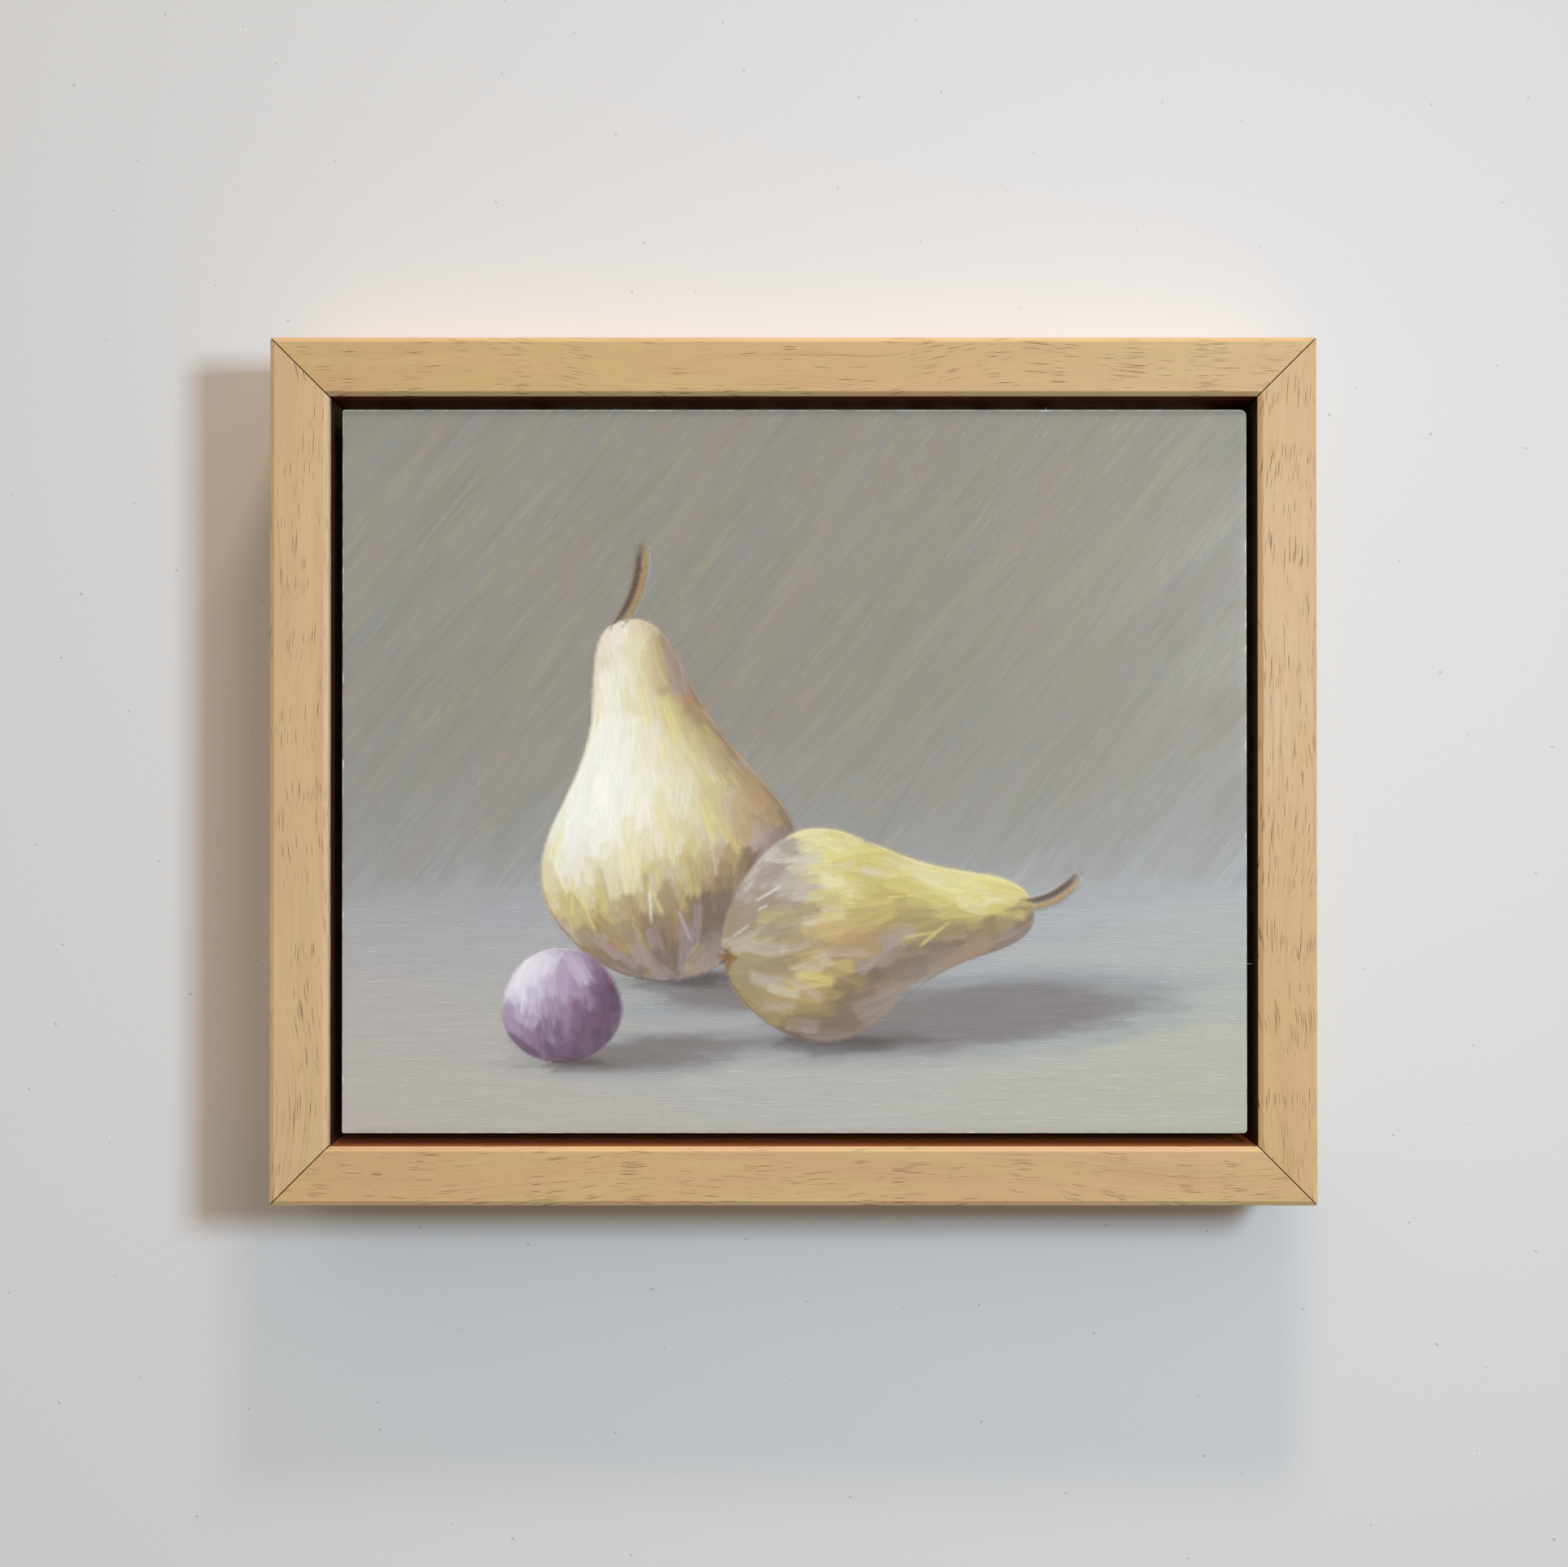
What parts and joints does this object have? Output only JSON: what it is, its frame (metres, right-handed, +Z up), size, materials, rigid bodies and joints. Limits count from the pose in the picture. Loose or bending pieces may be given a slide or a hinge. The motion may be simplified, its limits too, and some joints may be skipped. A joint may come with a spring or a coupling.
{
  "type": "framed panel painting",
  "caption": "Small landscape-format painting on a cradled board, floating in a pale mitred wooden frame, with a sawtooth hanger and wall bumpers on the back.",
  "frame": {"origin": "the middle notch of the sawtooth hanger, where the wall nail bears", "axes": "+X to the viewer's right along the frame's length, +Y from the picture towards the wall, +Z up"},
  "size_m": [0.2928, 0.035, 0.2428],
  "materials": {
    "pale_wood": "satin, fine dark pores",
    "painted_board": "white ground and satin paint with brush ridges",
    "cradle_pine": "sanded, unfinished",
    "zinc_screw": "zinc plated",
    "v_nail_steel": "bare rolled steel",
    "hanger_brass": "brass-plated steel",
    "bumper_rubber": "matt"
  },
  "bodies": {
    "root": {"rail_top": "pale_wood", "rail_right": "pale_wood", "rail_bottom": "pale_wood", "rail_left": "pale_wood", "panel": "painted_board", "cradle_top": "cradle_pine", "cradle_right": "cradle_pine", "cradle_bottom": "cradle_pine", "cradle_left": "cradle_pine", "screw_1": "zinc_screw", "screw_2": "zinc_screw", "screw_3": "zinc_screw", "screw_4": "zinc_screw", "screw_5": "zinc_screw", "screw_6": "zinc_screw", "v_nail_1": "v_nail_steel", "v_nail_2": "v_nail_steel", "v_nail_3": "v_nail_steel", "v_nail_4": "v_nail_steel", "v_nail_5": "v_nail_steel", "v_nail_6": "v_nail_steel", "v_nail_7": "v_nail_steel", "v_nail_8": "v_nail_steel", "hanger": "hanger_brass", "hanger_nail_left": "hanger_brass", "hanger_nail_right": "hanger_brass", "bumper_left": "bumper_rubber", "bumper_right": "bumper_rubber"}
  },
  "joints": []
}
